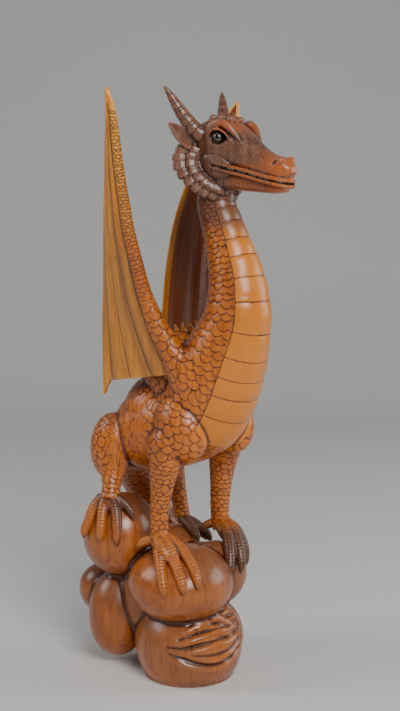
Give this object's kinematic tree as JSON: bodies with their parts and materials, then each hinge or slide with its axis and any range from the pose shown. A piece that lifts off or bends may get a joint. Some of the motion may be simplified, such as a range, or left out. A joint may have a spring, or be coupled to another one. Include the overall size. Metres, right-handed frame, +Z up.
{
  "type": "carved dragon figure",
  "caption": "Carved wooden dragon with raised wings, ringed horns and a plated throat, standing on a pile of rounded rocks.",
  "frame": {"origin": "the flat underside of the rock pile, under the dragon's body", "axes": "+Z up, the dragon looks along -Y, its left side is +X"},
  "size_m": [0.2108, 0.2671, 0.6008],
  "materials": {
    "wood": "waxed, semi-gloss",
    "eye": "black, polished"
  },
  "bodies": {
    "root": {"dragon_carving": "wood", "right_eye": "eye", "left_eye": "eye"}
  },
  "joints": []
}
